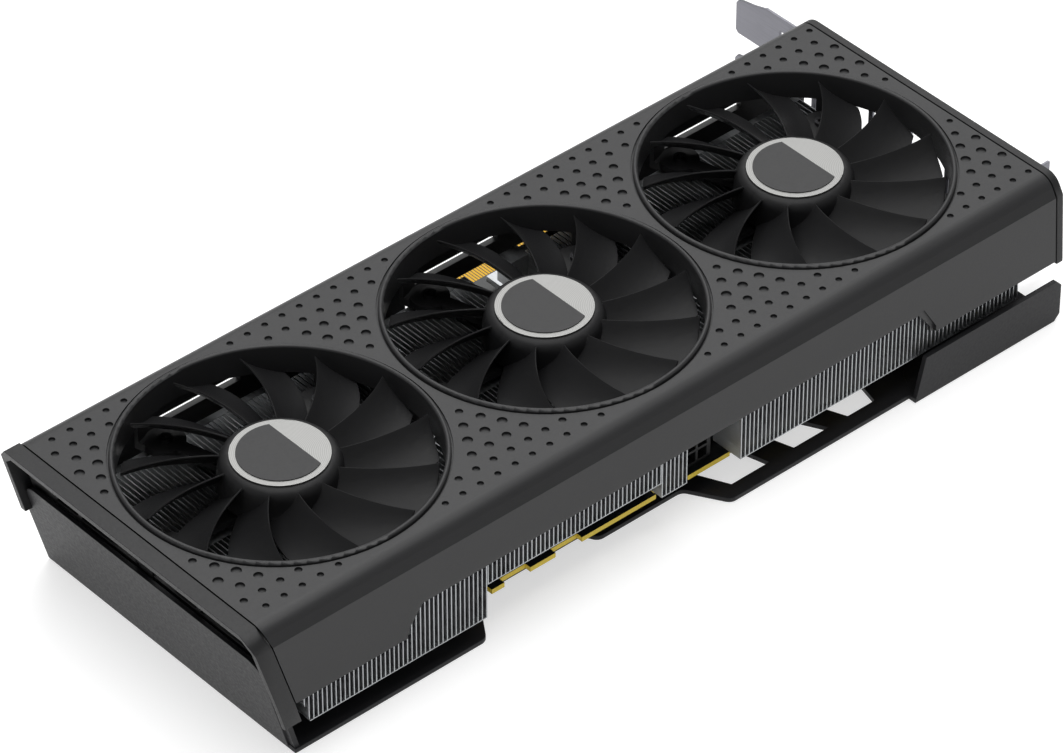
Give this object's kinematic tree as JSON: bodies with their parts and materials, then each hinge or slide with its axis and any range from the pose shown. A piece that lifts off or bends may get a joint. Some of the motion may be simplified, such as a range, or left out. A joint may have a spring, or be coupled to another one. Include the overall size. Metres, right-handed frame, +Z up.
{
  "type": "graphics card",
  "caption": "Graphics card: fans in a lipped moulded cover over fin stacks, on a circuit board with edge connector, metal bracket and folded backplate.",
  "frame": {"origin": "centre of the bounding box on the underside of the backplate, fans up", "axes": "+X from the metal bracket to the tail, +Y from the edge connector to the power socket side, +Z up through the fans"},
  "size_m": [0.3118, 0.1384, 0.0511],
  "materials": {
    "cover_plastic": "satin moulded, charcoal",
    "trim_plastic": "satin moulded, dark charcoal",
    "frame_plastic": "matt black moulded",
    "rotor_plastic": "satin black moulded",
    "badge_silver": "satin silver",
    "badge_grey": "satin grey",
    "motor_steel": "bare pressed steel",
    "magnet_ferrite": "bonded ferrite",
    "bearing_brass": "sintered",
    "winding_copper": "enamelled copper wire on a laminated core",
    "fin_aluminium": "mill finish sheet",
    "nickel_pipe": "nickel-plated copper",
    "cold_plate_metal": "nickel-plated copper, milled",
    "board_laminate": "black solder mask, yellow laminate edge",
    "contact_gold": "gold plated",
    "chip_resin": "moulded epoxy",
    "package_substrate": "laminated substrate",
    "die_silicon": "polished silicon",
    "pad_silicone": "soft thermal pad",
    "ferrite_block": "pressed ferrite",
    "capacitor_can": "drawn aluminium can",
    "socket_nylon": "black nylon",
    "socket_steel": "plated sheet steel shell",
    "bracket_steel": "nickel-plated sheet steel",
    "backplate_paint": "fine matt black powder coat",
    "screw_steel": "blackened steel",
    "mount_plastic": "black moulded"
  },
  "bodies": {
    "card": {"shroud_cover": "cover_plastic", "tail_band": "trim_plastic", "bracket_end_cap": "trim_plastic", "tail_vent_frame": "frame_plastic", "fan_screws": "screw_steel", "tail_fin_stack": "fin_aluminium", "centre_fin_stack": "fin_aluminium", "step_fin_stack": "fin_aluminium", "bracket_fin_stack": "fin_aluminium", "heat_pipes": "nickel_pipe", "cold_plate": "cold_plate_metal", "memory_plate": "fin_aluminium", "circuit_board": "board_laminate", "edge_contacts": "contact_gold", "chip_package": "package_substrate", "chip_die": "die_silicon", "memory_chips": "chip_resin", "thermal_pads": "pad_silicone", "power_stages": "chip_resin", "power_stage_block": "fin_aluminium", "inductors": "ferrite_block", "capacitors": "capacitor_can", "power_socket": "socket_nylon", "display_port_sockets": "socket_steel", "video_socket": "socket_steel", "io_bracket": "bracket_steel", "bracket_screws": "screw_steel", "backplate": "backplate_paint", "board_standoffs": "socket_steel", "backplate_screws": "screw_steel", "retention_bracket": "motor_steel", "retention_screws": "screw_steel", "fan_tail_bearing": "bearing_brass", "fan_tail_stator": "winding_copper", "fan_tail_mount": "mount_plastic", "fan_middle_bearing": "bearing_brass", "fan_middle_stator": "winding_copper", "fan_middle_mount": "mount_plastic", "fan_bracket_bearing": "bearing_brass", "fan_bracket_stator": "winding_copper", "fan_bracket_mount": "mount_plastic"},
    "fan_tail_rotor": {"fan_tail_impeller": "rotor_plastic", "fan_tail_badge_ring": "badge_silver", "fan_tail_badge_disc": "badge_grey", "fan_tail_yoke": "motor_steel", "fan_tail_magnet": "magnet_ferrite", "fan_tail_shaft": "motor_steel"},
    "fan_middle_rotor": {"fan_middle_impeller": "rotor_plastic", "fan_middle_badge_ring": "badge_silver", "fan_middle_badge_disc": "badge_grey", "fan_middle_yoke": "motor_steel", "fan_middle_magnet": "magnet_ferrite", "fan_middle_shaft": "motor_steel"},
    "fan_bracket_rotor": {"fan_bracket_impeller": "rotor_plastic", "fan_bracket_badge_ring": "badge_silver", "fan_bracket_badge_disc": "badge_grey", "fan_bracket_yoke": "motor_steel", "fan_bracket_magnet": "magnet_ferrite", "fan_bracket_shaft": "motor_steel"}
  },
  "joints": [
    {"name": "fan_tail_spin", "type": "hinge", "parent": "card", "child": "fan_tail_rotor", "pos_m": [0.1007, 0.0131, 0.0411], "axis": [0, 0, 1], "continuous": true},
    {"name": "fan_middle_spin", "type": "hinge", "parent": "card", "child": "fan_middle_rotor", "pos_m": [0.0053, 0.0131, 0.0411], "axis": [0, 0, 1], "continuous": true},
    {"name": "fan_bracket_spin", "type": "hinge", "parent": "card", "child": "fan_bracket_rotor", "pos_m": [-0.0901, 0.0131, 0.0411], "axis": [0, 0, 1], "continuous": true}
  ]
}
